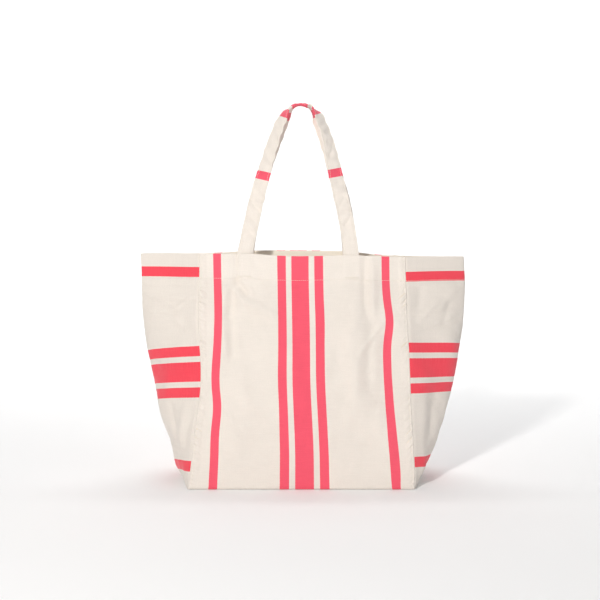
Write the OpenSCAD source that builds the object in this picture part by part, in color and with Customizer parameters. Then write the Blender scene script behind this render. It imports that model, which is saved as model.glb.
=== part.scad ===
// Canvas beach tote: a cloth panel that runs down the front, under the base and up the back,
// two side gussets that spread at the mouth, an inner rim facing, bound seams and two swinging straps.
// Origin: centre of the base, on the ground. +Z up, front towards -Y. Millimetres.

/* [Bag] */
// Width of the base, between the gusset seams
base_w = 360; // [300:10:420]
// Depth of the base, front to back
base_d = 205; // [160:5:240]
// Height of the rim above the ground
rim_h = 368; // [320:2:420]
// Width across the spread mouth, from gusset fold to gusset fold
mouth_w = 538; // [500:2:580]
// Gap between the front and back rims at the middle
mouth_gap = 80; // [60:2:110]
// Thickness of the canvas
cloth_t = 1.2; // [0.8:0.1:1.6]

/* [Rim] */
// Height of the facing and of the stitch line that holds it
hem_h = 38; // [25:1:50]
// Thickness of the facing tape
facing_t = 1; // [0.6:0.1:1.4]
// How far the back strap draws the middle of the back rim up
back_lift = 5; // [0:1:8]

/* [Straps] */
// Width of a strap
strap_w = 25; // [20:1:32]
// Thickness of a strap, four layers of canvas
strap_t = 2.6; // [2:0.2:4]
// Distance between the two legs of a strap at the rim
strap_spread = 172; // [140:2:200]
// How far the strap feet stand off the middle of the rim
strap_offset = -4; // [-14:1:14]
// How far a strap leans sideways from its feet to its apex
strap_lean = 1; // [-10:1:10]
// Height of the front strap above the rim
strap_drop = 249; // [200:1:280]
// How much lower the back strap stands
back_strap_step = 4; // [0:1:8]

/* [Seams] */
// Width of the bound seam allowance inside each seam
binding_w = 12; // [8:1:16]
// Thickness of the bound seam allowance
binding_t = 2; // [1.4:0.2:2.6]
// Distance of the topstitching from the seam
seam_stitch_in = 4; // [3:1:10]
// Width of a stitch line
thread_w = 0.8; // [0.5:0.1:1.2]
// Distance of a strap's edge stitching from the strap's edge
strap_stitch_in = 3; // [2:0.5:5]

/* [Hidden] */

cream = "#EFE6D6";
facing_cream = "#F4E8CF";
thread_cream = "#FBF3E4";
FRONT = -1;
BACK = 1;
LEFT = -1;
RIGHT = 1;

gap = 0.1;                      // air between layers that are sewn together
seam_draw = 11;                 // how far the seams draw in from the base to the rim
base_bulge = 10;                // how far the gusset pushes the base's ends out
rim_bow = 9;                    // how far the rim bows out between the seams
lean_power = 1.25;              // above 1, the panels stand steeper near the base
spread_power = 2.6;             // above 1, the gusset folds spread soon above the base
mouth_sharpness = 1.1;          // a gusset's section at the rim: 1 is a straight fold, 2 a round one
base_sharpness = 3;             // and at the base, where it is nearly square
arch_power = 2.15;              // above 2, a strap's shoulders stand out square
back_pinch = 0.24;              // how much narrower the back strap is under its apex
front_turn = 90;                // how far the front strap's face turns from upright at its foot to flat at its apex
back_turn = 87;                 // the same for the back strap, which stays a little open to the front
turn_power = 1.8;               // above 1, a strap turns mostly near its apex
thread_proud = 0.3;             // how far thread stands out of the cloth
across = 16;                    // cells across the body panel
up = 20;                        // cells up a wall
around = 14;                    // cells across a gusset, and along each end of the base
strap_cells = 44;               // cells along a strap
hem_v = 1 - hem_h / rim_h;      // hem line as a share of the height
facing_in = cloth_t + gap;      // depth of the facing's outer face
strap_in = facing_in + facing_t + gap;
rim_half = base_w / 2 - seam_draw;
strap_start = 2.5;              // clear height between the rim and a moving strap leg
strap_apex_y = strap_w / 2 + 0.7;
tack_h = 3;

// ---- the bag's surface; inset is measured inwards from the outside of the cloth ----

function lean(v) = 1 - pow(v, lean_power);
function seam_x(v) = base_w / 2 - seam_draw * sin(90 * v);
function middle_y(v) = mouth_gap / 2 + (base_d - mouth_gap) / 2 * lean(v);
function seam_y(v) = middle_y(v) - rim_bow * (1 - lean(v));
function fold_x(v) = mouth_w / 2 - (mouth_w / 2 - base_w / 2 - base_bulge) * pow(1 - v, spread_power);
function level(v, inset) = inset + (rim_h - inset) * v;
function lifted(a, v, side) = side == BACK ? back_lift * v * v * pow(1 - a * a, 2) : 0;

// Point on the front or back wall: a runs from -1 at the left seam to 1 at the right one, v up from 0 to 1
function wall_point(a, v, side, inset) = [
    a * (seam_x(v) - inset),
    side * (middle_y(v) - inset - (middle_y(v) - seam_y(v)) * a * a),
    level(v, inset) + lifted(a, v, side)
];

// Point on a gusset: w runs from -1 at the front seam to 1 at the back one
function gusset_point(w, v, side, inset) =
    let (sharpness = mouth_sharpness + (base_sharpness - mouth_sharpness) * pow(1 - v, 1.5),
         near = seam_x(v) - inset,
         far = max(fold_x(v) - inset * (1 + 3 * v), near))
    [side * (near + (far - near) * (1 - pow(abs(w), sharpness))),
     w * (seam_y(v) - inset),
     level(v, inset)];

function base_point(a, b, inset) = [
    a * (base_w / 2 - inset + base_bulge * (1 - pow(abs(b), base_sharpness))),
    b * (base_d / 2 - inset),
    inset
];

// Point on the body panel: c runs from 0 at the front rim, 1 to 2 across the base, to 3 at the back rim
function body_point(a, c, inset) =
    c < 1 ? wall_point(a, 1 - c, FRONT, inset)
    : c <= 2 ? base_point(a, 2 * (c - 1) - 1, inset)
    : wall_point(a, c - 2, BACK, inset);

function steps(from, to, n) = [for (i = [0:n]) from + (to - from) * i / n];
function body_path(v_top) = concat(
    steps(1 - v_top, 1 - 1 / up, up - 1), steps(1, 2, around), steps(2 + 1 / up, 2 + v_top, up - 1));

// One turn round the bag at height v, anticlockwise from above
function turn(v, inset) = concat(
    [for (a = steps(-1, 1, across)) wall_point(a, v, FRONT, inset)],
    [for (i = [1:around - 1]) gusset_point(2 * i / around - 1, v, RIGHT, inset)],
    [for (a = steps(1, -1, across)) wall_point(a, v, BACK, inset)],
    [for (i = [1:around - 1]) gusset_point(1 - 2 * i / around, v, LEFT, inset)]);

// ---- closed solids between two grids of points ----

function quad(p, q, r, s) = [[p, s, r], [p, r, q]];

// Sheet with four edges: the way along a row, crossed with the way from row to row, points outwards
module sheet(outer, inner) {
    rows = len(outer);
    cols = len(outer[0]);
    back = rows * cols;
    skin = [for (r = [0:rows - 2], c = [0:cols - 2])
        let (p = r * cols + c)
        each concat(quad(p, p + 1, p + cols + 1, p + cols),
                    quad(back + p, back + p + cols, back + p + cols + 1, back + p + 1))];
    ends = [for (c = [0:cols - 2])
        let (p = c, q = (rows - 1) * cols + c)
        each concat(quad(back + p, back + p + 1, p + 1, p), quad(q, q + 1, back + q + 1, back + q))];
    sides = [for (r = [0:rows - 2])
        let (p = r * cols, q = r * cols + cols - 1)
        each concat(quad(p, p + cols, back + p + cols, back + p),
                    quad(back + q, back + q + cols, q + cols, q))];
    points = concat([for (row = outer) each row], [for (row = inner) each row]);
    polyhedron(points = points, faces = concat(skin, ends, sides));
}

// Band that closes on itself along each row
module band(outer, inner) {
    rows = len(outer);
    cols = len(outer[0]);
    back = rows * cols;
    last = (rows - 1) * cols;
    skin = [for (r = [0:rows - 2], c = [0:cols - 1])
        let (p = r * cols + c, q = r * cols + (c + 1) % cols)
        each concat(quad(p, q, q + cols, p + cols),
                    quad(back + p, back + p + cols, back + q + cols, back + q))];
    edges = [for (c = [0:cols - 1])
        let (n = (c + 1) % cols)
        each concat(quad(back + c, back + n, n, c),
                    quad(last + c, last + n, back + last + n, back + last + c))];
    points = concat([for (row = outer) each row], [for (row = inner) each row]);
    polyhedron(points = points, faces = concat(skin, edges));
}

// ---- cloth pieces ----

module body_panel() {
    columns = steps(1, -1, across);
    color(cream) sheet(
        [for (c = body_path(1)) [for (a = columns) body_point(a, c, 0)]],
        [for (c = body_path(1)) [for (a = columns) body_point(a, c, cloth_t)]]);
}

module gusset(side) {
    columns = steps(-side, side, around);
    color(cream) sheet(
        [for (v = steps(0, 1, up)) [for (w = columns) gusset_point(w, v, side, 0)]],
        [for (v = steps(0, 1, up)) [for (w = columns) gusset_point(w, v, side, cloth_t)]]);
}

module rim_facing() {
    levels = steps(hem_v, 1, 3);
    color(facing_cream) band(
        [for (v = levels) turn(v, facing_in)],
        [for (v = levels) turn(v, facing_in + facing_t)]);
}

// Bound seam allowance, turned flat against the body panel
module seam_binding(side) {
    top_v = hem_v - 0.01;
    inner_edge = side * (1 - (binding_w + cloth_t) / (base_w / 2));
    outer_edge = side * (1 - gap / (base_w / 2));
    columns = side == RIGHT ? [outer_edge, inner_edge] : [inner_edge, outer_edge];
    color(facing_cream) sheet(
        [for (c = body_path(top_v)) [for (a = columns) body_point(a, c, facing_in)]],
        [for (c = body_path(top_v)) [for (a = columns) body_point(a, c, facing_in + binding_t)]]);
}

// ---- stitching ----

module hem_stitching() {
    half = thread_w / 2 / rim_h;
    color(thread_cream) band(
        [for (v = [hem_v - half, hem_v + half]) turn(v, -thread_proud)],
        [for (v = [hem_v - half, hem_v + half]) turn(v, -gap / 2)]);
}

// One upright stitch line on the outside of a wall, a share a of the way from the middle to the seam
module wall_stitch_line(a, side) {
    half = thread_w / base_w;
    low_v = 0.02;
    high_v = hem_v - 0.01;
    columns = [a + side * half, a - side * half];
    color(thread_cream) sheet(
        [for (v = steps(low_v, high_v, up)) [for (k = columns) wall_point(-k, v, side, -thread_proud)]],
        [for (v = steps(low_v, high_v, up)) [for (k = columns) wall_point(-k, v, side, -gap / 2)]]);
}

module seam_stitching(side) {
    a = side * (1 - seam_stitch_in / (base_w / 2));
    wall_stitch_line(-a, FRONT);
    wall_stitch_line(-a, BACK);
}

// ---- straps ----

// A strap leg's place along the rim, as a share of the way from the middle to the seam
function leg_a(x_side) = (strap_offset + x_side * strap_spread / 2) / rim_half;

// Patch on a wall at one strap leg, between two depths and two heights
module leg_patch(x_side, side, low_v, high_v, near_in, far_in) {
    half = strap_w / 2 / rim_half;
    from_a = leg_a(x_side) + side * half;
    to_a = leg_a(x_side) - side * half;
    sheet(
        [for (v = steps(low_v, high_v, 3)) [for (a = steps(from_a, to_a, 3)) wall_point(a, v, side, near_in)]],
        [for (v = steps(low_v, high_v, 3)) [for (a = steps(from_a, to_a, 3)) wall_point(a, v, side, far_in)]]);
}

// Sewn end of a strap leg, flat against the facing
module strap_end(x_side, side) {
    color(cream) leg_patch(x_side, side, hem_v - 0.005, 1 - 0.5 / rim_h, strap_in, strap_in + strap_t);
}

// Dense tack just above the hem line, which holds the strap end
module strap_tack(x_side, side) {
    low_v = hem_v + 2 / rim_h;
    color(thread_cream) leg_patch(x_side, side, low_v, low_v + tack_h / rim_h, -thread_proud, -gap / 2);
}

function drop_of(side) = side == FRONT ? strap_drop : strap_drop - back_strap_step;
function strap_foot(side) = wall_point(leg_a(LEFT), 1, side, strap_in + strap_t / 2);

// Middle of a strap: t runs from 0 at the left leg's foot to 180 at the right one's
function strap_middle(t, side) =
    let (foot = strap_foot(side),
         rise = 1 - pow(abs(cos(t)), arch_power),
         half = strap_spread / 2 * (side == FRONT ? 1 : 1 - back_pinch * pow(rise, 3)),
         apex_y = side * strap_apex_y)
    [strap_offset + strap_lean * sin(90 * rise) - half * cos(t),
     foot[1] + (apex_y - foot[1]) * rise,
     foot[2] + strap_start + (drop_of(side) - strap_start) * rise];

function unit(p) = p / norm(p);
function strap_along(t, side) = unit(strap_middle(min(t + 1, 180), side) - strap_middle(max(t - 1, 0), side));

// Outward face of the strap: it faces front or back at the feet and turns to face up over the apex
function strap_face(t, side) =
    let (along = strap_along(t, side),
         flat_out = unit(cross(along, cross([0, side, 0], along))),
         arch_out = unit(cross(along, cross([-cos(t), 0, sin(t)], along))),
         turned = (side == FRONT ? front_turn : back_turn) * pow(1 - abs(t - 90) / 90, turn_power))
    unit(flat_out * cos(turned) + arch_out * sin(turned));

function strap_point(t, side, w, depth) =
    let (face = strap_face(t, side), width = cross(strap_along(t, side), face))
    strap_middle(t, side) + width * w + face * depth;

module strap_strip(side, columns, near, far) {
    stations = steps(0, 180, strap_cells);
    sheet(
        [for (t = stations) [for (w = columns) strap_point(t, side, w, near)]],
        [for (t = stations) [for (w = columns) strap_point(t, side, w, far)]]);
}

// The two edges of the stitch line on one side of a strap's middle
function stitch_edges(x_side) = [
    x_side * (strap_w / 2 - strap_stitch_in) - thread_w / 2,
    x_side * (strap_w / 2 - strap_stitch_in) + thread_w / 2
];

module strap(side) {
    columns = concat([-strap_w / 2], stitch_edges(LEFT), stitch_edges(RIGHT), [strap_w / 2]);
    color(cream) strap_strip(side, columns, strap_t / 2, -strap_t / 2);
}

// Two lines of edge stitching on each face of a strap
module strap_stitching(side) {
    color(thread_cream) for (x_side = [LEFT, RIGHT]) {
        strap_strip(side, stitch_edges(x_side), strap_t / 2 + thread_proud, strap_t / 2 + gap / 2);
        strap_strip(side, stitch_edges(x_side), -strap_t / 2 - gap / 2, -strap_t / 2 - thread_proud);
    }
}

body_panel();
gusset(LEFT);  // left_gusset
gusset(RIGHT);  // right_gusset
rim_facing();
seam_binding(LEFT);  // left_seam_binding
seam_binding(RIGHT);  // right_seam_binding
hem_stitching();
seam_stitching(LEFT);  // left_seam_stitching
seam_stitching(RIGHT);  // right_seam_stitching
strap_end(LEFT, FRONT);  // front_left_strap_end
strap_end(RIGHT, FRONT);  // front_right_strap_end
strap_end(LEFT, BACK);  // back_left_strap_end
strap_end(RIGHT, BACK);  // back_right_strap_end
strap_tack(LEFT, FRONT);  // front_left_strap_tack
strap_tack(RIGHT, FRONT);  // front_right_strap_tack
strap_tack(LEFT, BACK);  // back_left_strap_tack
strap_tack(RIGHT, BACK);  // back_right_strap_tack
strap(FRONT);  // front_strap
strap(BACK);  // back_strap
strap_stitching(FRONT);  // front_strap_stitching
strap_stitching(BACK);  // back_strap_stitching
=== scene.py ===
import bpy
import numpy as np
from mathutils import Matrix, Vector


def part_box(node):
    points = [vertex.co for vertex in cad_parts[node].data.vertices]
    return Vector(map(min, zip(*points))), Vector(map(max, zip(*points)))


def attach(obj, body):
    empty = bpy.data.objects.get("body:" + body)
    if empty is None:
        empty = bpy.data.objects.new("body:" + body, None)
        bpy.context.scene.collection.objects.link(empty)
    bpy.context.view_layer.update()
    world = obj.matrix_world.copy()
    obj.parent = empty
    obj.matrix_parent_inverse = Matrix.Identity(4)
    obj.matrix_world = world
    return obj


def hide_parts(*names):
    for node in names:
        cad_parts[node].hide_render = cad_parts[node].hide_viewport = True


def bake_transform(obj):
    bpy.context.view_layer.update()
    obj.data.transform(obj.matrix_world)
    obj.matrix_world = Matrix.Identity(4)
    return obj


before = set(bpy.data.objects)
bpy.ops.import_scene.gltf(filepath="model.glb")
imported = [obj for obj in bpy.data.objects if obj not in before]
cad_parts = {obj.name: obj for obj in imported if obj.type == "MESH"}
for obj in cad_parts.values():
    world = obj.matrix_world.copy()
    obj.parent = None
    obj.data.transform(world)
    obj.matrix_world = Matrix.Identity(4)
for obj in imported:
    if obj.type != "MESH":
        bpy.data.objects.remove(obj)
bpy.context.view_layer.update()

# A striped canvas tote. The cloth is a lofted shell that follows the CAD's surface, with the folds,
# puckers, rolled rim, seams and stitches of the real cloth added as geometry. Metres throughout.
# Front is towards -Y and right is towards +X. In v, 0 is the base and 1 is the rim.

# ---- sizes, from the frame ----
panel_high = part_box("body_panel")[1]
gusset_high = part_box("right_gusset")[1]
RIM = gusset_high.z                     # height of the rim
MOUTH_HALF = gusset_high.x              # half the width across the mouth
BASE_DEPTH_HALF = panel_high.y
BASE_BULGE = 0.010                      # how far the gusset pushes the base's ends out
BASE_HALF = panel_high.x - BASE_BULGE
BACK_LIFT = panel_high.z - RIM          # how far the back rim rises at its middle

# ---- the shape of the shell, as in the CAD ----
MOUTH_GAP_HALF = 0.040
SEAM_DRAW = 0.011
RIM_BOW = 0.009
LEAN_POWER = 1.25
SPREAD_POWER = 2.6
MOUTH_SHARPNESS = 1.1
BASE_SHARPNESS = 3.0
FRONT, BACK = -1, 1
LEFT, RIGHT = -1, 1
WORDS = {FRONT: "front", BACK: "back"}
X_WORDS = {LEFT: "left", RIGHT: "right"}
MM = 0.001

# ---- cloth and sewing ----
CLOTH = 1.2 * MM                        # canvas thickness
HEM = 38 * MM                           # depth of the facing
FACING_IN = 1.35 * MM                   # depth of the facing's outer face under the cloth's surface
FACING = 1.0 * MM
ALLOWANCE = 12 * MM                     # width of the pressed seam allowance
SEAM_STITCH_IN = 4 * MM
STRAP_W = 25 * MM
STRAP_T = 2.6 * MM
STRAP_STITCH_IN = 3 * MM
STRAP_TAIL = 34 * MM                    # how far a strap's end runs down inside the rim
STRAP_IN = FACING_IN + FACING + 0.1 * MM

# ---- the woven stripes, measured across the cloth from the middle of the group ----
# The half width of the wide stripe, then the near and far edges of the narrow and of the side stripe.
PANEL_STRIPES = (15.2 * MM, 24.5 * MM, 39.9 * MM, 138.9 * MM, 153.1 * MM)
GUSSET_STRIPES = (15.5 * MM, 24.1 * MM, 40.3 * MM, 138.4 * MM, 154.8 * MM)
STRAP_STRIPES = (14.5 * MM, 22.6 * MM, 37.4 * MM, 132.7 * MM, 146.9 * MM)
STRAP_GROUP = 2 * MM                    # how far a strap's group stands to the left of its apex

# ---- the straps' arches, as in the CAD ----
STRAP_OFFSET = -5 * MM                  # how far the strap feet stand off the rim's middle
STRAP_LEAN = 5 * MM
STRAP_SPREAD_HALF = 87.5 * MM
STRAP_APEX_Y = STRAP_W / 2 + 0.7 * MM
APEX_OPEN = 0.6 * MM                    # the back strap's edge stands this far above its middle
BACK_UP = 2.2 * MM                      # the back strap stands this much higher than its CAD solid
STRAP_RISE = {FRONT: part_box("front_strap")[1].z - STRAP_T / 2 - RIM,
              BACK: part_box("back_strap")[1].z - STRAP_T / 2 - APEX_OPEN + BACK_UP - RIM}
ARCH_POWER = 2.05
SHOULDER_POWER = 0.6                    # added near the apex, where the arch stands out squarer
PINCH = {FRONT: 0.0, BACK: 0.24}
BOW = {FRONT: 0.0, BACK: 0.20}          # how far the back strap's legs bow out half way up
STRAP_LEG_X = {LEFT: STRAP_OFFSET - STRAP_SPREAD_HALF, RIGHT: STRAP_OFFSET + STRAP_SPREAD_HALF}
TURN = {FRONT: 89.0, BACK: 92.0}         # how far a strap has turned at its apex, in degrees
LEG_TURN = 58.0                         # how far it has turned where the shoulder starts


# ---- small helpers ----

def bump(t, centre, width):
    return np.exp(-((t - centre) / width) ** 2)


def ease(t):
    t = np.clip(t, 0, 1)
    return t * t * (3 - 2 * t)


def unit(v):
    return v / np.maximum(np.linalg.norm(v, axis=-1, keepdims=True), 1e-12)


def waves(x, y, length_x, length_y, seed, count=14):
    """Smooth seeded noise of about unit height, with features about length_x by length_y."""
    rng = np.random.default_rng(seed)
    total = np.zeros(np.broadcast(x, y).shape)
    for _ in range(count):
        angle, phase = rng.uniform(0, 2 * np.pi, 2)
        pitch = rng.uniform(0.6, 1.5)
        turn = 2 * np.pi * pitch
        way = np.cos(angle) * x / length_x + np.sin(angle) * y / length_y
        total = total + np.cos(turn * way + phase)
    return total / np.sqrt(count / 2)


def crease(x, z, start, end, width, height):
    """A soft ridge, or a valley where height is negative, along the line from start to end. Its width
    and height are in millimetres."""
    start, end = np.array(start), np.array(end)
    way = end - start
    length = np.linalg.norm(way)
    way = way / length
    along = (x - start[0]) * way[0] + (z - start[1]) * way[1]
    off = (x - start[0]) * way[1] - (z - start[1]) * way[0]
    share = along / length
    fade = ease(share / 0.3 + 0.5) * ease((1 - share) / 0.3 + 0.5)
    return height * MM * fade * np.exp(-(off / (width * MM)) ** 2)


def graded(near, cell, total, far=()):
    """Distances from 0 to total: the near ones, even cells, and the far ones counted back from total."""
    far_side = [total - d for d in far]
    low, high = near[-1], (min(far_side) if far_side else total)
    count = max(int(round((high - low) / cell)), 1)
    middle = [low + (high - low) * i / count for i in range(1, count)]
    return np.array(sorted(list(near) + middle + (far_side if far_side else [total])))


def tangents(grid):
    return np.gradient(grid, axis=0), np.gradient(grid, axis=1)


# ---- the shell: every surface is worked out at any inset from the outside of the cloth ----

def lean(v):
    return 1 - v ** LEAN_POWER


def seam_x(v):
    return BASE_HALF - SEAM_DRAW * np.sin(np.pi / 2 * v)


def middle_y(v):
    return MOUTH_GAP_HALF + (BASE_DEPTH_HALF - MOUTH_GAP_HALF) * lean(v)


def seam_y(v):
    return middle_y(v) - RIM_BOW * (1 - lean(v))


def fold_x(v):
    return MOUTH_HALF - (MOUTH_HALF - BASE_HALF - BASE_BULGE) * (1 - v) ** SPREAD_POWER


def wall(a, v, side, inset):
    lift = BACK_LIFT * v ** 2 * (1 - a ** 2) ** 2 if side == BACK else 0 * a * v
    x = a * (seam_x(v) - inset)
    y = side * (middle_y(v) - inset - (middle_y(v) - seam_y(v)) * a ** 2)
    z = inset + (RIM - inset) * v + lift
    return np.stack(np.broadcast_arrays(x, y, z), axis=-1)


def base(a, b, inset):
    x = a * (BASE_HALF - inset + BASE_BULGE * (1 - np.abs(b) ** BASE_SHARPNESS))
    return np.stack(np.broadcast_arrays(x, b * (BASE_DEPTH_HALF - inset), inset + 0 * a * b), axis=-1)


FOLD_SOFTNESS = 0.035                   # rounds the gusset's fold, as a share of its half width


def gusset(w, v, side, inset):
    soft = np.sqrt(w ** 2 + FOLD_SOFTNESS ** 2) - FOLD_SOFTNESS
    soft = soft / (np.sqrt(1 + FOLD_SOFTNESS ** 2) - FOLD_SOFTNESS)
    sharpness = MOUTH_SHARPNESS + (BASE_SHARPNESS - MOUTH_SHARPNESS) * (1 - v) ** 1.5
    near = seam_x(v) - inset
    far = np.maximum(fold_x(v) - inset * (1 + 3 * v), near)
    x = side * (near + (far - near) * (1 - soft ** sharpness))
    z = inset + (RIM - inset) * v
    return np.stack(np.broadcast_arrays(x, w * (seam_y(v) - inset), z), axis=-1)


# Grid lines, closer together where the cloth is sewn
CELL = 3 * MM
CELL_UP = 1.5 * MM
SEAM_STEPS = [d * MM for d in (0, 0.35, 0.8, 1.4, 2.3, 3.3, 4, 4.7, 6, 8, 10, 11.5, 13, 15)]
EDGE_STEPS = [d * MM for d in (0, 0.35, 0.8, 1.4, 2.3, 4, 6.5)]
HEM_STEPS = [HEM + d * MM for d in (1.6, 0.8, 0.3, 0, -0.3, -0.8, -1.6)]
RIM_STEPS = [HEM - 4 * MM - i * (HEM - 7 * MM) / 10 for i in range(11)] + [1.9 * MM, 1 * MM, 0]
A = graded(SEAM_STEPS, CELL, 2 * BASE_HALF, SEAM_STEPS) / BASE_HALF - 1
W = graded(EDGE_STEPS, CELL, 2 * BASE_DEPTH_HALF, EDGE_STEPS) / BASE_DEPTH_HALF - 1
V = graded(EDGE_STEPS, CELL_UP, RIM, HEM_STEPS + RIM_STEPS) / RIM


def panel_rows(inset):
    """The body panel at an inset: from the front rim down, across the base and up to the back rim."""
    a = A[None, :]
    front = wall(a, V[::-1][:, None], FRONT, inset)
    under = base(a, W[1:-1][:, None], inset)
    back = wall(a, V[:, None], BACK, inset)
    rows = np.concatenate([front, under, back])
    return soften_corners(rows)


CORNER_SOFT = 5 * MM                    # how round the cloth turns under the base
FRONT_ROWS = len(V)
BACK_START = len(V) + len(W) - 2


def soften_corners(rows):
    """Rounds the panel where it turns from a wall to the base, by averaging along the cloth."""
    step = np.linalg.norm(np.diff(rows[:, len(A) // 2], axis=0), axis=-1)
    s = np.concatenate([[0], np.cumsum(step)])
    out = rows.copy()
    for corner in (FRONT_ROWS - 1, BACK_START):
        near = np.abs(s - s[corner]) < 3 * CORNER_SOFT
        for row in np.where(near)[0]:
            share = np.exp(-((s[row] - s[corner]) / (1.6 * CORNER_SOFT)) ** 2)
            spread = max(CORNER_SOFT * share, 1e-6)
            weight = np.exp(-((s - s[row]) / spread) ** 2) * np.gradient(s)
            out[row] = np.tensordot(weight / weight.sum(), rows, axes=(0, 0))
    return out


def gusset_grid(side, inset, panel):
    """A gusset at an inset, rows up and columns from front to back, joined to the panel's edge."""
    grid = gusset(W[None, :], V[:, None], side, inset)
    edge = panel[:, -1 if side == RIGHT else 0]
    front_edge, back_edge = edge[:FRONT_ROWS][::-1], edge[BACK_START:]
    bottom = edge[FRONT_ROWS - 1:BACK_START + 1]
    reach = 0.25
    to_front = ease(1 - (W + 1) / reach)[None, :, None]
    to_back = ease(1 - (1 - W) / reach)[None, :, None]
    to_base = ease(1 - V / 0.12)[:, None, None]
    d_front = (front_edge - grid[:, 0])[:, None]
    d_back = (back_edge - grid[:, -1])[:, None]
    d_base = (bottom - grid[0])[None, :]
    grid = grid + to_front * d_front + to_back * d_back + to_base * d_base
    grid = grid - to_front * to_base * d_front[0] - to_back * to_base * d_back[0]
    return grid


# ---- folds and puckers ----

PUCKER_PITCH = 6.4 * MM
PUCKER_HEIGHT = 1.15 * MM
BROAD_PUCKER_PITCH = 17 * MM
BROAD_PUCKER_HEIGHT = 2.1 * MM


def sewn_profile(distance, z, slant, seed):
    """Height of the cloth near a seam: the rolled edge, the ridge over the pressed allowance, the
    puckers, which lean by slant and are strongest well up the seam, and the stitch groove."""
    roll = -1.1 * MM * np.clip(1 - distance / (1.5 * MM), 0, 1) ** 2
    ridge = 0.9 * MM * ease((ALLOWANCE + 1.5 * MM - distance) / (3 * MM)) * ease(distance / (1.5 * MM))
    strength = np.clip(0.8 + 0.4 * waves(z, 0 * z, 0.08, 1, seed), 0.35, 1.3)
    strength = strength * (0.42 + 0.58 * bump(z, 0.27, 0.09))
    up = z + slant * distance
    uneven, broad_uneven = waves(z, 0 * z, 0.09, 1, seed + 1), waves(z, 0 * z, 0.12, 1, seed + 2)
    fine = PUCKER_HEIGHT * np.sin(2 * np.pi * up / PUCKER_PITCH + 0.8 * uneven)
    broad = BROAD_PUCKER_HEIGHT * np.sin(2 * np.pi * up / BROAD_PUCKER_PITCH + 1.3 * broad_uneven)
    pucker = strength * (fine + broad * ease(waves(z, 0 * z, 0.10, 1, seed + 3) + 0.6))
    pucker = pucker * ease((ALLOWANCE + 4 * MM - distance) / (9 * MM)) * ease(distance / (2 * MM))
    groove = -0.5 * MM * np.exp(-((distance - SEAM_STITCH_IN) / (0.8 * MM)) ** 2)
    return roll + ridge + pucker + groove


def hem_profile(down, u, seed):
    """The groove of the hem stitching, and the small puckers that it pulls into the cloth."""
    near = np.exp(-(down - HEM) ** 2 / (1.3 * MM) ** 2)
    puckers = 0.22 * MM * np.sin(2 * np.pi * u / (6.5 * MM) + 1.5 * waves(u, 0 * u, 0.03, 1, seed))
    return -0.45 * MM * near + puckers * np.exp(-((down - HEM) / (5 * MM)) ** 2)


# Creases of the front and the back: start and end as (across, up) on the wall, in metres, then width
# and height in millimetres
FRONT_CREASES = [
    ((-0.110, 0.330), (-0.091, 0.304), 4, -3.6),
    ((-0.118, 0.322), (-0.101, 0.296), 4.5, 2.6),
    ((-0.100, 0.330), (-0.078, 0.306), 5, 1.8),
    ((-0.124, 0.326), (-0.132, 0.268), 7, 4.0),
    ((-0.132, 0.272), (-0.125, 0.205), 7, 4.0),
    ((-0.112, 0.322), (-0.120, 0.268), 6.5, -4.0),
    ((-0.120, 0.268), (-0.112, 0.200), 8, -3.8),
    ((-0.117, 0.380), (-0.117, 0.328), 5, 1.6),
    ((-0.1055, 0.380), (-0.108, 0.318), 4, -2.4),
    ((-0.103, 0.297), (-0.044, 0.273), 8, 3.2),
    ((-0.098, 0.276), (-0.050, 0.256), 11, -2.6),
    ((-0.100, 0.190), (-0.088, 0.120), 14, 2.2),
    ((-0.124, 0.128), (-0.098, 0.082), 3.5, 1.8),
    ((0.1025, 0.372), (0.101, 0.280), 5, -3.6),
    ((0.1145, 0.360), (0.112, 0.268), 6, 2.8),
    ((0.080, 0.285), (0.090, 0.110), 17, 7.0),
    ((0.131, 0.262), (0.137, 0.115), 17, -6.5),
    ((0.107, 0.275), (0.112, 0.150), 9, -3.4),
    ((0.096, 0.212), (0.127, 0.262), 4, 2.0),
    ((-0.150, 0.250), (-0.120, 0.262), 6, 1.4),
    ((-0.160, 0.165), (-0.135, 0.150), 7, 1.6),
]
BACK_CREASES = [
    ((-0.100, 0.330), (-0.110, 0.190), 12, -3.2),
    ((-0.070, 0.320), (-0.078, 0.210), 14, 2.4),
    ((0.096, 0.325), (0.112, 0.180), 12, 3.0),
    ((0.070, 0.300), (0.060, 0.140), 16, -2.6),
    ((0.010, 0.240), (-0.010, 0.100), 22, 2.0),
]
# Creases of each gusset: start and end as (front to back, up)
LEFT_CREASES = [
    ((-0.006, 0.302), (-0.034, 0.279), 2, 2.2),
    ((-0.034, 0.279), (-0.050, 0.314), 2, 2.0),
    ((-0.036, 0.268), (-0.053, 0.240), 2.5, 2.0),
    ((-0.020, 0.250), (-0.048, 0.256), 8, -1.3),
    ((-0.080, 0.142), (-0.084, 0.062), 4, -4.2),
    ((-0.070, 0.142), (-0.073, 0.060), 5, 3.0),
    ((-0.050, 0.130), (-0.059, 0.082), 4, -2.8),
    ((0.030, 0.260), (0.060, 0.120), 10, -2.2),
]
RIGHT_CREASES = [
    ((-0.010, 0.314), (-0.034, 0.272), 3.5, 1.4),
    ((-0.034, 0.320), (-0.044, 0.282), 3, -2.6),
    ((-0.008, 0.264), (-0.046, 0.247), 4, -2.4),
    ((-0.026, 0.296), (-0.048, 0.262), 3, 2.2),
    ((-0.018, 0.292), (-0.030, 0.254), 3, -1.8),
    ((-0.052, 0.150), (-0.066, 0.070), 7, -2.6),
    ((-0.070, 0.140), (-0.084, 0.060), 6, 2.0),
    ((0.034, 0.250), (0.055, 0.110), 11, 2.4),
]
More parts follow.
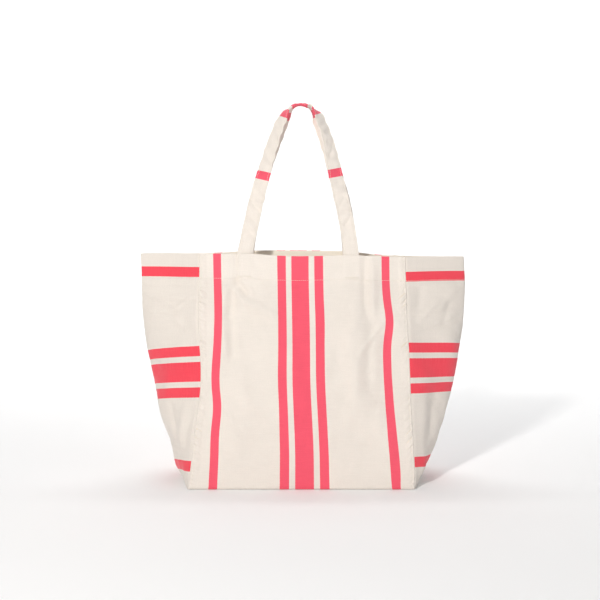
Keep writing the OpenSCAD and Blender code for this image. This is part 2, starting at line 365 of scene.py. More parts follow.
# Dimples of the front strap: start and end as (along from its apex, across)
STRAP_CREASES = [
    ((0.086, -0.010), (0.112, 0.006), 3, -1.7),
    ((0.078, 0.004), (0.098, 0.011), 2.5, 1.2),
    ((0.178, -0.008), (0.194, 0.008), 3, -1.5),
    ((0.212, -0.009), (0.226, 0.004), 3, -1.8),
    ((-0.190, -0.007), (-0.200, 0.008), 3, -1.4),
    ((-0.230, -0.009), (-0.240, 0.007), 3.5, -1.7),
]


def strap_print(x, z):
    """The cloth stands out over the strap ends that are sewn in behind it."""
    over = 0
    for leg in STRAP_LEG_X.values():
        over = over + ease((STRAP_W / 2 + 1.5 * MM - np.abs(x - leg)) / (3 * MM))
    return 0.9 * MM * over * ease((z - RIM + HEM - 1 * MM) / (4 * MM))


def wall_height(x, z, side):
    """How far the cloth of a wall stands out from the smooth shell, by its folds alone."""
    seed = 11 if side == FRONT else 47
    free = ease(z / 0.05) * ease((RIM + 0.004 - z) / 0.05)
    height = 1.5 * MM * waves(x, z, 0.11, 0.26, seed) * free
    height = height + 0.5 * MM * waves(x, z, 0.034, 0.060, seed + 1) * free
    height = height + 0.12 * MM * waves(x, z, 0.011, 0.011, seed + 2)
    for fold in (FRONT_CREASES if side == FRONT else BACK_CREASES):
        height = height + crease(x, z, *fold)
    rim_wave = 1.0 * MM * waves(x, 0 * x, 0.13, 1, seed + 3) * bump(z, RIM, 0.04)
    return height + rim_wave + strap_print(x, z)


def drift(x, z):
    """Sideways drift of the front's cloth, in which its seams and its side stripes bend."""
    out = np.abs(x)
    at_seam = ease((out - 0.147) / 0.020)
    at_stripe = ease(out / 0.130) * (1 - at_seam)
    left_seam = 10.5 * bump(z, 0.165, 0.080) + 1.8 * bump(z, 0.330, 0.050)
    left_seam = left_seam + 1.5 * bump(z, 0.050, 0.030)
    left_stripe = 4.0 * bump(z, 0.265, 0.085) + 4.2 * bump(z, 0.128, 0.032)
    right_seam = 2.6 * ease(z / 0.030) + 1.0 * bump(z, 0.200, 0.060)
    right_stripe = 3.0 * ease((z - 0.200) / 0.100) + 4.2 * bump(z, 0.262, 0.028)
    right_stripe = right_stripe - 2.2 * bump(z, 0.075, 0.055)
    seam = np.where(x < 0, left_seam, right_seam)
    stripe = np.where(x < 0, left_stripe, right_stripe)
    return (at_seam * seam + at_stripe * stripe) * MM * ease(z / 0.012)


RIM_TILT = 3.2 * MM                     # how far the rim's left side stands up, and its right side down


def rim_dip(x, z, side):
    """The rim is drawn up a little at each strap, sags between the front ones and is lower at the back.
    Its left side stands a little higher."""
    tilt = -RIM_TILT * ease(np.abs(x) / 0.20) * np.sign(x)
    legs = 1.2 * MM * (bump(x, STRAP_LEG_X[LEFT], 0.03) + bump(x, STRAP_LEG_X[RIGHT], 0.03))
    sag = -1.6 * MM * bump(x, STRAP_OFFSET, 0.055) if side == FRONT else 0
    meet = -1.6 * MM - 1.4 * MM * ease((-x - 0.050) / 0.060) if side == BACK else 0
    return (tilt + legs + sag + meet) * np.clip(z / RIM, 0, 2) ** 3


def wall_moves(grid, side):
    """How the folds, seams and hem move each point of a wall."""
    x, z = grid[..., 0], grid[..., 2]
    down, across_way = tangents(grid)
    out = unit(np.cross(across_way, down))
    out = out * np.sign(np.sum(out * np.array([0, side, 0]), axis=-1, keepdims=True))
    distance = (1 - np.abs(A[None, :])) * BASE_HALF
    slant = np.where(x < 0, 0.35, 0.85)
    seam = sewn_profile(distance, z, slant, 71 if side == FRONT else 83) * ease(z / (12 * MM))
    height = wall_height(x, z, side) + seam + hem_profile(RIM - z, x, 5)
    moves = out * height[..., None]
    if side == FRONT:
        moves[..., 0] += drift(x, z)
    else:
        opened = np.clip((z - RIM + 28 * MM) / (28 * MM), 0, 1.3) ** 2
        moves[..., 1] += 6 * MM * opened * ease((0.150 - np.abs(x)) / 0.060)
    moves[..., 2] += rim_dip(x, z, side)
    return moves


def base_moves(under):
    """The base rests on the ground: only its seams roll up, by less than the cloth's thickness."""
    distance = (1 - np.abs(A[None, :])) * BASE_HALF
    moves = np.zeros_like(under)
    moves[..., 2] = 0.7 * MM * np.clip(1 - distance / (1.5 * MM), 0, 1) ** 2
    return moves


def gusset_moves(grid, side, edge_move):
    """How the folds move each point of a gusset, whose edges move with the panel's."""
    y, z = grid[..., 1], grid[..., 2]
    up, back_way = tangents(grid)
    out = unit(np.cross(back_way, up))
    out = out * np.sign(np.sum(out * np.array([side, 0, 0]), axis=-1, keepdims=True) + 1e-9)
    from_edge = (1 - np.abs(W[None, :])) * BASE_DEPTH_HALF
    free = ease(from_edge / 0.022) * ease(z / 0.030)
    seed = 131 if side == LEFT else 151
    height = 1.5 * MM * waves(y, z, 0.07, 0.13, seed) + 0.5 * MM * waves(y, z, 0.028, 0.050, seed + 1)
    for fold in (LEFT_CREASES if side == LEFT else RIGHT_CREASES):
        height = height + crease(y, z, *fold)
    height = height * (1 - 0.85 * bump(y, 0, 0.022 - 0.012 * z / RIM))
    fold_out = -2.0 * MM if side == LEFT else 3.0 * MM
    height = height + fold_out * bump(y, 0, 0.05) * ease((z - 0.20) / 0.06)
    height = height * free * (0.35 + 0.65 * ease((RIM - z) / 0.05))
    height = height + 0.10 * MM * waves(y, z, 0.010, 0.010, seed + 2) * free
    puff = 0.9 * MM * ease(from_edge / (2.5 * MM)) * (1 - ease(from_edge / (11 * MM)))
    height = height + puff * ease(z / (8 * MM))
    height = height + hem_profile(RIM - z, y, 9) * ease(from_edge / (3 * MM))
    front_edge, back_edge = edge_move[:FRONT_ROWS][::-1], edge_move[BACK_START:]
    bottom = edge_move[FRONT_ROWS - 1:BACK_START + 1]
    to_front = ease((1 - W) / 1.3 - 0.25)[None, :, None]
    to_back = ease((1 + W) / 1.3 - 0.25)[None, :, None]
    to_base = ease(1 - V / 0.05)[:, None, None]
    follow = to_front * front_edge[:, None] + to_back * back_edge[:, None]
    corner = to_front * front_edge[0] + to_back * back_edge[0]
    moves = out * height[..., None] + follow + to_base * (bottom[None, :] - corner)
    moves[..., 2] += -side * RIM_TILT * (z / RIM) ** 3 * (1 - to_front - to_back)[..., 0]
    return moves


def smooth_shell(inset):
    panel = panel_rows(inset)
    gussets = {side: gusset_grid(side, inset, panel) for side in (LEFT, RIGHT)}
    return {"panel": panel, **gussets}


def all_moves():
    """The folds of the whole bag, worked out once, on the outside of the cloth."""
    smooth = smooth_shell(0)
    panel = smooth["panel"]
    moves = np.concatenate([wall_moves(panel[:FRONT_ROWS], FRONT),
                            base_moves(panel[FRONT_ROWS:BACK_START]),
                            wall_moves(panel[BACK_START:], BACK)])
    return {"panel": moves, LEFT: gusset_moves(smooth[LEFT], LEFT, moves[:, 0]),
            RIGHT: gusset_moves(smooth[RIGHT], RIGHT, moves[:, -1])}


MOVES = all_moves()


def shell(inset):
    """The whole bag at an inset from the outside of the cloth, folds included."""
    smooth = smooth_shell(inset)
    return {part: smooth[part] + MOVES[part] for part in smooth}


# ---- meshes ----

def new_piece(name, points, faces, uvs=None):
    """A smooth mesh object. uvs is one (u, v) per vertex, kept in the UV layer Cloth."""
    mesh = bpy.data.meshes.new(name)
    mesh.from_pydata(np.asarray(points).tolist(), [], faces)
    if uvs is not None:
        layer = mesh.uv_layers.new(name="Cloth")
        corner = np.zeros(len(mesh.loops), np.int32)
        mesh.loops.foreach_get("vertex_index", corner)
        layer.data.foreach_set("uv", np.asarray(uvs, np.float32)[corner].ravel())
    mesh.polygons.foreach_set("use_smooth", np.ones(len(mesh.polygons), bool))
    mesh.update()
    piece = bpy.data.objects.new(name, mesh)
    bpy.context.scene.collection.objects.link(piece)
    return piece


def sheet_faces(rows, cols, back, loop=False):
    """Faces of a closed solid between two grids, the second of which starts at index back."""
    r, c = np.meshgrid(np.arange(rows - 1), np.arange(cols if loop else cols - 1), indexing="ij")
    n = (c + 1) % cols
    p, q, s, t = r * cols + c, r * cols + n, (r + 1) * cols + n, (r + 1) * cols + c
    skin = np.stack([p, q, s, t], -1).reshape(-1, 4)
    inner = (np.stack([p, t, s, q], -1) + back).reshape(-1, 4)
    c = np.arange(cols if loop else cols - 1)
    n = (c + 1) % cols
    last = (rows - 1) * cols
    edges = [np.stack([c + back, n + back, n, c], -1),
             np.stack([last + c, last + n, last + n + back, last + c + back], -1)]
    if not loop:
        r = np.arange(rows - 1) * cols
        e = cols - 1
        edges.append(np.stack([r, r + cols, r + cols + back, r + back], -1))
        edges.append(np.stack([r + e + back, r + cols + e + back, r + cols + e, r + e], -1))
    return np.concatenate([skin, inner] + edges)


def layered(name, outer, inner, uv, loop=False):
    """A closed piece of cloth between an outer and an inner grid of points."""
    rows, cols = outer.shape[:2]
    faces = sheet_faces(rows, cols, rows * cols, loop)
    way = np.cross(outer[1, 1] - outer[0, 1], outer[1, 1] - outer[1, 0])
    if np.dot(way, outer[1, 1] - inner[1, 1]) > 0:
        faces = faces[:, ::-1]
    points = np.concatenate([outer.reshape(-1, 3), inner.reshape(-1, 3)])
    uvs = np.concatenate([uv.reshape(-1, 2), uv.reshape(-1, 2)])
    return new_piece(name, points, faces.tolist(), uvs)


ROLL = 1.15 * MM                        # radius of the cloth where it rolls over the rim


def rolled(outer_edge, outer_next, inner_edge):
    """Rows that carry the cloth over the rim: outer and inner points, and how far past the rim."""
    up = unit(outer_edge - outer_next)
    centre = (outer_edge + inner_edge) / 2
    arm = (outer_edge - inner_edge) / 2
    turns = np.linspace(0, np.pi, 9)[1:]
    outer = [centre + arm * np.cos(t) + up * ROLL * np.sin(t) for t in turns]
    inner = [centre + 0.1 * (arm * np.cos(t) + up * ROLL * np.sin(t)) for t in turns]
    past = [ROLL * t for t in turns]
    return outer, inner, past


def add_roll(outer, inner, roll_in, lengths, at_start):
    """Adds the rolled rim to one end of a grid. lengths is the distance along the cloth of each row."""
    edge, following = (0, 1) if at_start else (-1, -2)
    more_out, more_in, past = rolled(outer[edge], outer[following], roll_in[edge])
    if at_start:
        return (np.concatenate([more_out[::-1], outer]), np.concatenate([more_in[::-1], inner]),
                np.concatenate([lengths[0] - np.array(past[::-1]), lengths]))
    return (np.concatenate([outer, more_out]), np.concatenate([inner, more_in]),
            np.concatenate([lengths, lengths[-1] + np.array(past)]))


def row_lengths(grid):
    steps = np.linalg.norm(np.diff(grid[:, grid.shape[1] // 2], axis=0), axis=-1)
    return np.concatenate([[0], np.cumsum(steps)])


outside = shell(0)
inside = shell(CLOTH)
rim_inside = shell(2 * ROLL)
facing_out = shell(FACING_IN)
facing_in = shell(FACING_IN + FACING)
strap_shell = shell(STRAP_IN + STRAP_T / 2)


def group_middle():
    """Where the stripes' middle lies in each row of the body panel: they lean over near the base."""
    z = V * RIM
    low = 5.3 * MM * ease((0.19 - z) / 0.15)
    front = low - 2.3 * MM * (1 - ease((0.36 - z) / 0.16))
    back = low[0] * (1 - ease(V)) - 5 * MM * ease(V)
    return np.concatenate([front[::-1], np.full(len(W) - 2, low[0]), back])


def make_panel():
    lengths = row_lengths(outside["panel"])
    roll_in = rim_inside["panel"]
    outer, inner, lengths = add_roll(outside["panel"], inside["panel"], roll_in, lengths, True)
    outer, inner, lengths = add_roll(outer, inner, roll_in, lengths, False)
    middle = group_middle()
    extra = (len(lengths) - len(middle)) // 2
    middle = np.pad(middle, extra, mode="edge")
    across = A[None, :] * BASE_HALF - middle[:, None]
    uv = np.stack(np.broadcast_arrays(across, lengths[:, None]), -1)
    return layered("body_canvas", outer, inner, uv)


def make_gusset(side):
    name = f"{X_WORDS[side]}_gusset_canvas"
    lengths = row_lengths(outside[side])
    outer, inner, lengths = add_roll(outside[side], inside[side], rim_inside[side], lengths, False)
    z = np.concatenate([V * RIM, RIM + lengths[len(V):] - lengths[len(V) - 1]])[:, None]
    to_fold = 1 - np.abs(W[None, :])
    if side == LEFT:
        sag = 15 * ease((0.345 - z) / 0.13) - 3 * ease((0.12 - z) / 0.07)
        across = 183.2 * MM - z + 9.6 * MM * ease((z - 0.24) / 0.07)
    else:
        sag = 8 * ease((0.345 - z) / 0.13) + 4 * ease((0.12 - z) / 0.07)
        across = 189.8 * MM - z
    across = across - sag * MM * to_fold
    uv = np.stack(np.broadcast_arrays(across, (W * BASE_DEPTH_HALF)[None, :]), -1)
    return layered(name, outer, inner, uv)


def hem_index():
    return int(np.argmin(np.abs(V - (1 - HEM / RIM))))


def wall_rows(surface, side):
    """The rows of the front or of the back, from the base up."""
    return surface["panel"][:FRONT_ROWS][::-1] if side == FRONT else surface["panel"][BACK_START:]


def around(surface, rows):
    """Rows of the bag as closed loops: front, right gusset, back and left gusset."""
    front = wall_rows(surface, FRONT)[rows]
    back = wall_rows(surface, BACK)[rows][:, ::-1]
    right = surface[RIGHT][rows][:, 1:-1]
    left = surface[LEFT][rows][:, 1:-1][:, ::-1]
    return np.concatenate([front, right, back, left], axis=1)


def make_facing():
    rows = np.arange(hem_index(), len(V))
    outer, inner = around(facing_out, rows), around(facing_in, rows)
    lift = unit(inner[-1] - inner[-2]) * 0.5 * MM
    outer = np.concatenate([outer, outer[-1:] + lift])
    inner = np.concatenate([inner, inner[-1:] + lift])
    from_low = np.arange(len(outer))[:, None, None]
    from_top = from_low[::-1]
    fold = 0.35 * np.clip(1 - from_low / 1.5, 0, 1)
    outer, inner = outer + (inner - outer) * fold, inner + (outer - inner) * fold
    tuck = 0.94 * np.clip(1 - (from_top - 1) / 2, 0, 1)
    outer = outer + (inner - outer) * tuck
    loop = np.concatenate([inner[0], inner[0][:1]])
    lengths = np.concatenate([[0], np.cumsum(np.linalg.norm(np.diff(loop, axis=0), axis=-1))])[:-1]
    heights = row_lengths(inner)
    uv = np.stack(np.broadcast_arrays(lengths[None, :], heights[:, None]), -1)
    return layered("rim_facing_cloth", outer, inner, uv, loop=True)


def make_binding(side):
    """The bound seam allowance inside: down the front, across the base and up the back."""
    name = f"{X_WORDS[side]}_binding_tape"
    distance = (1 - side * A) * BASE_HALF
    picked = np.where((distance > 0.3 * MM) & (distance < ALLOWANCE + 1.2 * MM))[0]
    top = np.arange(len(V))[V < 1 - (HEM + 3 * MM) / RIM]
    first, last = FRONT_ROWS - 1 - top[-1], BACK_START + top[-1] + 1
    outer = facing_out["panel"][first:last][:, picked]
    deep = shell(FACING_IN + 1.8 * MM)["panel"][first:last][:, picked]
    round_edge = 1 - np.abs(np.linspace(-1, 1, len(picked))) ** 6
    inner = outer + (deep - outer) * (0.25 + 0.75 * round_edge)[None, :, None]
    lengths = row_lengths(outer)
    ripple = 0.12 * MM * np.sin(2 * np.pi * lengths / (6 * MM))
    inner = inner + ripple[:, None, None] * unit(deep - outer)
    uv = np.stack(np.broadcast_arrays((A[picked] * BASE_HALF)[None, :], lengths[:, None]), -1)
    return layered(name, outer, inner, uv)


# ---- thread ----

def thread(name, starts, ends, outs, radius=0.28 * MM, proud=0.16 * MM, dip=0.30 * MM):
    """One mesh of separate stitches, each a short round thread that dips into the cloth at both ends."""
    sides = 6
    shares = np.array([0.0, 0.12, 0.5, 0.88, 1.0])
    sizes = np.array([0.35, 0.85, 1.0, 0.85, 0.35])
    heights = np.array([-dip, proud * 0.7, proud, proud * 0.7, -dip])
    starts, ends, outs = (np.asarray(p, float) for p in (starts, ends, outs))
    along = unit(ends - starts)
    across = unit(np.cross(along, outs))
    outs = np.cross(across, along)
    turns = 2 * np.pi * np.arange(sides) / sides
    ring = (np.cos(turns)[:, None, None] * across + np.sin(turns)[:, None, None] * outs) * radius
    points = (starts + (ends - starts) * shares[:, None, None] + outs * heights[:, None, None])[:, None]
    points = points + ring[None] * sizes[:, None, None, None]
    count = len(starts)
    points = points.transpose(2, 0, 1, 3).reshape(-1, 3)
    rings = len(shares)
    r, k = np.meshgrid(np.arange(rings - 1) * sides, np.arange(sides), indexing="ij")
    n = (k + 1) % sides
    faces = np.stack([r + k, r + n, r + sides + n, r + sides + k], -1).reshape(-1, 4)
    offsets = (np.arange(count) * rings * sides)[:, None, None]
    quads = (faces[None] + offsets).reshape(-1, 4).tolist()
    caps = []
    for i in range(count):
        first = i * rings * sides
        last = first + (rings - 1) * sides
        caps.append([first + k for k in range(sides)][::-1])
        caps.append([last + k for k in range(sides)])
    return new_piece(name, points, quads + caps)


STITCH = 2.5 * MM
STITCH_PITCH = 3.2 * MM


def stitch_path(path, outs):
    """Starts, ends and outward directions of even stitches along a path."""
    s = np.concatenate([[0], np.cumsum(np.linalg.norm(np.diff(path, axis=0), axis=-1))])
    first = np.arange(0.5 * MM, s[-1] - STITCH, STITCH_PITCH)

    def at(where, values):
        return np.stack([np.interp(where, s, values[:, k]) for k in range(3)], -1)

    return at(first, path), at(first + STITCH, path), unit(at(first + STITCH / 2, outs))


def join_stitches(name, paths, **style):
    parts = [stitch_path(path, outs) for path, outs in paths]
    return thread(name, *[np.concatenate([p[k] for p in parts]) for k in range(3)], **style)


def make_hem_stitches():
    row = [hem_index()]
    out_line, cloth_line = around(outside, row)[0], around(inside, row)[0]
    in_line = around(facing_in, row)[0]
    outs = unit(out_line - cloth_line)
    closed = [(np.concatenate([line, line[:1]]), np.concatenate([way, way[:1]]))
              for line, way in ((out_line, outs), (in_line, -outs))]
    return join_stitches("hem_stitches", closed)


def make_seam_stitches(side):
    name = f"{X_WORDS[side]}_seam_stitches"
    distance = (1 - side * A) * BASE_HALF
    col = int(np.argmin(np.abs(distance - SEAM_STITCH_IN)))
    line = outside["panel"][:, col]
    outs = unit(line - inside["panel"][:, col])
    front, back = slice(2, FRONT_ROWS - 6), slice(BACK_START + 5, len(line) - 2)
    return join_stitches(name, [(line[front], outs[front]), (line[back], outs[back])])


# ---- straps ----

def rim_point(x, side, surface, down=0.0):
    """Point on a wall of the shell at x, a distance down from the rim."""
    rows = wall_rows(surface, side)
    col = int(np.argmin(np.abs(rows[-1][:, 0] - x)))
    heights = rows[:, col, 2]
    want = heights[-1] - down
    return np.array([np.interp(want, heights, rows[:, col, k]) for k in range(3)])


def strap_line(side):
    """Centre line of a strap, from one sewn end over the apex to the other, with its direction, its
    outward face and its distance from the apex."""
    foot = {k: rim_point(STRAP_LEG_X[k], side, strap_shell) for k in (LEFT, RIGHT)}
    t = np.linspace(0, 180, 241)
    c = np.cos(np.radians(t))
    rise = 1 - np.abs(c) ** (ARCH_POWER + SHOULDER_POWER * np.sin(np.radians(t)) ** 12)
    half = STRAP_SPREAD_HALF * (1 + BOW[side] * rise * (1 - rise) - PINCH[side] * rise ** 3)
    mix = ((1 - c) / 2)[:, None]
    feet = foot[LEFT] * (1 - mix) + foot[RIGHT] * mix
    x = STRAP_OFFSET + STRAP_LEAN * np.sin(np.pi / 2 * rise) - half * c
    y = feet[:, 1] + (side * STRAP_APEX_Y - feet[:, 1]) * rise
    z = feet[:, 2] + (RIM + STRAP_RISE[side] - feet[:, 2]) * rise
    arch = np.stack([x, y, z], -1)
    tails = []
    for k in (LEFT, RIGHT):
        downs = np.linspace(STRAP_TAIL, 1 * MM, 16)
        tail = np.array([rim_point(STRAP_LEG_X[k], side, strap_shell, d) for d in downs])
        tail[:, 0] = STRAP_LEG_X[k]
        tails.append(tail)
    line = np.concatenate([tails[0], arch, tails[1][::-1]])
    s = np.concatenate([[0], np.cumsum(np.linalg.norm(np.diff(line, axis=0), axis=-1))])
    even = np.linspace(0, s[-1], int(s[-1] / (2.2 * MM)))
    line = np.stack([np.interp(even, s, line[:, k]) for k in range(3)], -1)
    for _ in range(6):
        line[1:-1] = 0.25 * line[:-2] + 0.5 * line[1:-1] + 0.25 * line[2:]
    from_apex = even - even[int(np.argmax(line[:, 2]))]
    off = np.abs(from_apex)
    leg_turn = LEG_TURN * ease((250 * MM - off) / (230 * MM))
    turned = np.radians(leg_turn + (TURN[side] - LEG_TURN) * ease((46 * MM - off) / (28 * MM)))
    along = unit(np.gradient(line, axis=0))
    flat = unit(np.cross(along, np.cross(np.array([0.0, side, 0.0]), along)))
    hub = np.array([STRAP_OFFSET + STRAP_LEAN, 0, RIM])
    reach = line - hub
    reach[:, 1] = 0
    arch_out = unit(np.cross(along, np.cross(unit(reach), along)))
    face = unit(flat * np.cos(turned)[:, None] + arch_out * np.sin(turned)[:, None])
    return line, along, face, from_apex


def strap_section(count=14):
    """Section of a folded strap: across, and half its thickness, thinner at the edge stitches."""
    edge = STRAP_W / 2
    round_edge = STRAP_T / 2 * (1 - np.cos(np.linspace(0.35, np.pi / 2, 5)))
    groove_across = np.linspace(-edge + 1.9 * MM, -edge + 4.4 * MM, 6)
    across = np.concatenate([[-edge], -edge + round_edge, groove_across])
    middle = np.linspace(-edge + 5.6 * MM, edge - 5.6 * MM, count)
    across = np.concatenate([across, middle, -across[::-1]])
    inset = np.clip(edge - np.abs(across), 0, STRAP_T / 2)
    half = np.sqrt(np.maximum((STRAP_T / 2) ** 2 - (STRAP_T / 2 - inset) ** 2, 0))
    groove = 0.42 * MM * np.exp(-((edge - np.abs(across) - STRAP_STITCH_IN) / (0.75 * MM)) ** 2)
    pillow = 0.12 * MM * (1 - (across / edge) ** 2)
    return across, np.maximum(half - groove + pillow * (inset > STRAP_T / 2 - 1e-6), 0.05 * MM)


def strap_surface(side, w, h):
    """Points of a strap at across w and out h, with its small soft wrinkles."""
    line, along, face, s = strap_line(side)
    width = np.cross(along, face)
    seed = 211 if side == FRONT else 223
    w, h = w[None, :, None], h[None, :, None]
    s_grid = s[:, None]
    loose = ease((line[:, 2] - RIM) / 0.03)[:, None]
    soft = 0.90 * MM * waves(s_grid, w[..., 0], 0.022, 0.030, seed)
    soft = soft + 0.25 * MM * waves(s_grid, w[..., 0], 0.011, 0.016, seed + 1)
    sideways = np.abs(np.sum(face * np.array([1.0, 0, 0]), axis=-1))[:, None]
    if side == FRONT:
        for dimple in STRAP_CREASES:
            soft = soft + crease(s_grid, w[..., 0], *dimple)
    soft = soft * loose * (1 - 0.9 * sideways ** 2)
    height_in = line[:, 2:3]
    bend = -2.6 * MM * bump(height_in, RIM + 0.140, 0.045) * (s_grid > 0)
    sway = bend + 0.3 * MM * waves(s_grid, 0 * s_grid, 0.16, 1, seed + 2) * loose
    curl = 0.045 * waves(s_grid, 0 * s_grid, 0.09, 1, seed + 3) * loose
    out = h + (soft + curl * w[..., 0])[..., None]
    points = line[:, None] + width[:, None] * w + face[:, None] * out
    points[..., 0] += sway
    return points, s


def make_strap(side):
    name = f"{WORDS[side]}_strap_canvas"
    across, half = strap_section()
    top, s = strap_surface(side, across, half)
    low, _ = strap_surface(side, across, -half)
    uv = np.stack(np.broadcast_arrays(s[:, None] + STRAP_GROUP, across[None, :]), -1)
    return layered(name, top, low, uv)


def make_strap_stitches(side):
    name = f"{WORDS[side]}_strap_stitches"
    edge = STRAP_W / 2 - STRAP_STITCH_IN
    rest = STRAP_T / 2 - 0.28 * MM
    w = np.array([-edge, edge])
    paths = []
    for way in (1, -1):
        lines, _ = strap_surface(side, w, np.full(2, way * rest))
        far, _ = strap_surface(side, w, np.full(2, way * (rest + MM)))
        for k in range(2):
            paths.append((lines[:, k], unit(far[:, k] - lines[:, k])))
    return join_stitches(name, paths, radius=0.26 * MM)


def make_tacks(side, x_side):
    """A dense zigzag tack just above the hem line, over one strap end."""
    name = f"{WORDS[side]}_{X_WORDS[x_side]}_tack_stitches"
    middle = STRAP_LEG_X[x_side]
    turns = 29
    xs = np.linspace(middle - STRAP_W / 2 + MM, middle + STRAP_W / 2 - MM, turns)
    downs = np.where(np.arange(turns) % 2 == 0, HEM - 1.6 * MM, HEM - 4.2 * MM)
    rows, under = wall_rows(outside, side), wall_rows(inside, side)
    points, outs = [], []
    for x, down in zip(xs, downs):
        row = int(np.argmin(np.abs(V - (1 - down / RIM))))
        spot = np.array([np.interp(x, rows[row][:, 0], rows[row][:, k]) for k in range(3)])
        below = np.array([np.interp(x, under[row][:, 0], under[row][:, k]) for k in range(3)])
        points.append(spot)
        outs.append(spot - below)
    points, outs = np.array(points), unit(np.array(outs))
    return thread(name, points[:-1], points[1:], outs[:-1], radius=0.24 * MM)


# ---- materials ----

class Nodes:
    """A little help for writing node trees."""

    def __init__(self, name):
        self.material = bpy.data.materials.new(name)
        self.material.use_nodes = True
        self.tree = self.material.node_tree
        self.shader = self.tree.nodes["Principled BSDF"]

    def add(self, kind, **values):
        node = self.tree.nodes.new(kind)
        for key, value in values.items():
            setattr(node, key, value)
        return node

    def link(self, source, target):
        self.tree.links.new(source, target)

    def math(self, operation, a, b=0.0, clamp=False):
        node = self.add("ShaderNodeMath", operation=operation, use_clamp=clamp)
        for socket, value in zip(node.inputs, (a, b)):
            if hasattr(value, "links"):
                self.link(value, socket)
            else:
                socket.default_value = value
        return node.outputs[0]

    def mix(self, share, a, b, blend="MIX"):
        node = self.add("ShaderNodeMix", data_type="RGBA", blend_type=blend)
        for socket, value in ((node.inputs[0], share), (node.inputs[6], a), (node.inputs[7], b)):
            if hasattr(value, "links"):
                self.link(value, socket)
            elif isinstance(value, tuple):
                socket.default_value = (*value, 1)
            else:
                socket.default_value = value
        return node.outputs[2]

    def noise(self, vector, scale, detail=3.0):
        node = self.add("ShaderNodeTexNoise")
        node.inputs["Scale"].default_value = scale
        node.inputs["Detail"].default_value = detail
        self.link(vector, node.inputs["Vector"])
        return node.outputs["Fac"]

    def centred(self, value, amount):
        """A noise, as a change of up to half the amount either way."""
        return self.math("MULTIPLY", self.math("SUBTRACT", value, 0.5), amount)

    def relief(self, height, strength, distance):
        bump_node = self.add("ShaderNodeBump")
        bump_node.inputs["Strength"].default_value = strength
        bump_node.inputs["Distance"].default_value = distance
        self.link(height, bump_node.inputs["Height"])
        self.link(bump_node.outputs[0], self.shader.inputs["Normal"])

    def scaled(self, vector, scale):
        node = self.add("ShaderNodeMapping")
        node.inputs["Scale"].default_value = scale
        self.link(vector, node.inputs["Vector"])
        return node.outputs[0]


YARN = 0.85 * MM                        # pitch of the canvas's yarns
CREAM = (0.845, 0.776, 0.706)
CORAL = (0.93, 0.100, 0.160)
# Painted shade: the gussets' coral stripes are drawn deeper than the front's, for the gussets standing
# less lit
GUSSET_PAINTED_SHADE_CORAL = (0.93, 0.064, 0.098)
THREAD = (0.86, 0.80, 0.71)
DOUBLED_LIGHTER = 0.042                 # how much lighter canvas is where it is doubled
# The facing's own warm cream, drawn lighter than the canvas as painted light for the shade inside the
# mouth
FACING_PAINTED_LIGHT_CREAM = (0.97, 0.90, 0.77)
TAPE_CREAM = (0.83, 0.74, 0.62)
WORN_CORAL = (0.98, 0.26, 0.30)
DARK_THREAD = (0.78, 0.71, 0.62)


def band(nodes, distance, low, high, edge):
    """1 where distance is between low and high, with edges that wide."""
    rise = nodes.math("MULTIPLY", nodes.math("SUBTRACT", distance, low), 1 / edge, clamp=True)
    fall = nodes.math("MULTIPLY", nodes.math("SUBTRACT", high, distance), 1 / edge, clamp=True)
    return nodes.math("MULTIPLY", rise, fall)


